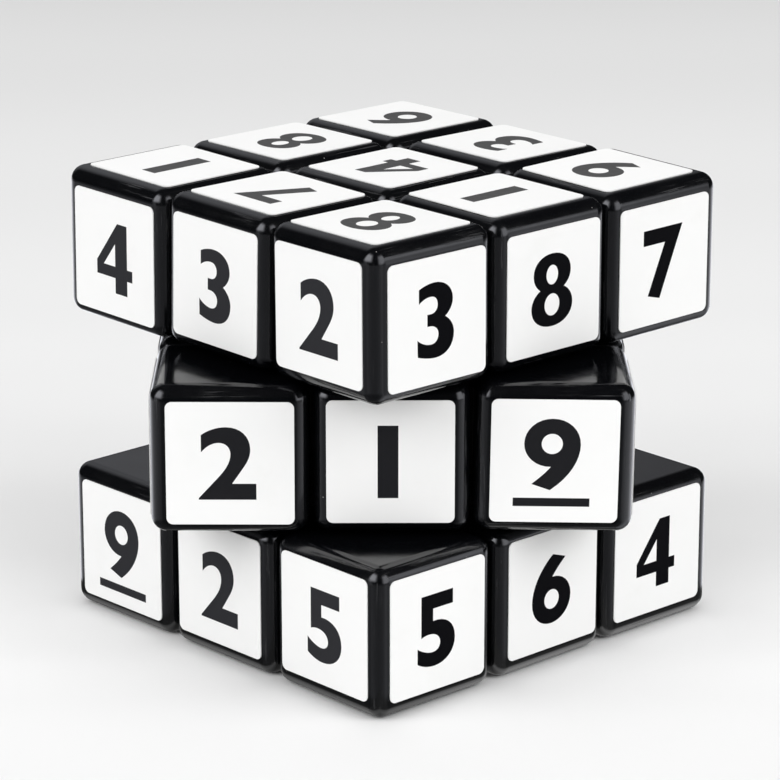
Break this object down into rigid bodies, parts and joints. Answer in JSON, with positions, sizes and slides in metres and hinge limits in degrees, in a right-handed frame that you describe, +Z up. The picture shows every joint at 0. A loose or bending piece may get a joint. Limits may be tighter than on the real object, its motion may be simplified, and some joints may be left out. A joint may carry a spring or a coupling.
{
  "type": "sudoku cube",
  "caption": "Twisty cube puzzle in black plastic with white numbered labels; its top and bottom layers turn about the upright axis and stand part turned.",
  "frame": {"origin": "on the table, under the middle of the cube", "axes": "+Z up along the axis of the two turning layers; the middle layer faces the X and Y axes, with -Y to the front"},
  "size_m": [0.0793, 0.0794, 0.0576],
  "materials": {
    "block_plastic": "polished black moulding with fine scuffs",
    "foot_plastic": "plain black moulding",
    "core_plastic": "plain ivory moulding",
    "steel": "bright zinc",
    "label_vinyl": "satin white vinyl",
    "printed_ink": "satin black print"
  },
  "bodies": {
    "middle_layer": {"back_centre": "block_plastic", "back_centre_cap": "block_plastic", "core": "core_plastic", "front_centre": "block_plastic", "front_centre_cap": "block_plastic", "left_centre": "block_plastic", "left_centre_cap": "block_plastic", "middle_edge_back_left": "block_plastic", "middle_edge_back_right": "block_plastic", "middle_edge_feet": "foot_plastic", "middle_edge_front_left": "block_plastic", "middle_edge_front_right": "block_plastic", "middle_layer_back_labels": "label_vinyl", "middle_layer_front_labels": "label_vinyl", "middle_layer_left_labels": "label_vinyl", "middle_layer_numerals": "printed_ink", "middle_layer_right_labels": "label_vinyl", "right_centre": "block_plastic", "right_centre_cap": "block_plastic", "spindle_screws": "steel", "tension_springs": "steel", "washers": "steel"},
    "top_layer": {"top_centre": "block_plastic", "top_centre_cap": "block_plastic", "top_corner_back_left": "block_plastic", "top_corner_back_right": "block_plastic", "top_corner_feet": "foot_plastic", "top_corner_front_left": "block_plastic", "top_corner_front_right": "block_plastic", "top_edge_back": "block_plastic", "top_edge_feet": "foot_plastic", "top_edge_front": "block_plastic", "top_edge_left": "block_plastic", "top_edge_right": "block_plastic", "top_face_labels": "label_vinyl", "top_layer_back_labels": "label_vinyl", "top_layer_front_labels": "label_vinyl", "top_layer_left_labels": "label_vinyl", "top_layer_numerals": "printed_ink", "top_layer_right_labels": "label_vinyl"},
    "bottom_layer": {"bottom_centre": "block_plastic", "bottom_centre_cap": "block_plastic", "bottom_corner_back_left": "block_plastic", "bottom_corner_back_right": "block_plastic", "bottom_corner_feet": "foot_plastic", "bottom_corner_front_left": "block_plastic", "bottom_corner_front_right": "block_plastic", "bottom_edge_back": "block_plastic", "bottom_edge_feet": "foot_plastic", "bottom_edge_front": "block_plastic", "bottom_edge_left": "block_plastic", "bottom_edge_right": "block_plastic", "bottom_face_labels": "label_vinyl", "bottom_layer_back_labels": "label_vinyl", "bottom_layer_front_labels": "label_vinyl", "bottom_layer_left_labels": "label_vinyl", "bottom_layer_numerals": "printed_ink", "bottom_layer_right_labels": "label_vinyl"}
  },
  "joints": [
    {"name": "top_layer_turn", "type": "hinge", "parent": "middle_layer", "child": "top_layer", "pos_m": [0, 0, 0.04773], "axis": [0, 0, 1], "continuous": true},
    {"name": "bottom_layer_turn", "type": "hinge", "parent": "middle_layer", "child": "bottom_layer", "pos_m": [0, 0, 0.00973], "axis": [0, 0, 1], "continuous": true}
  ]
}
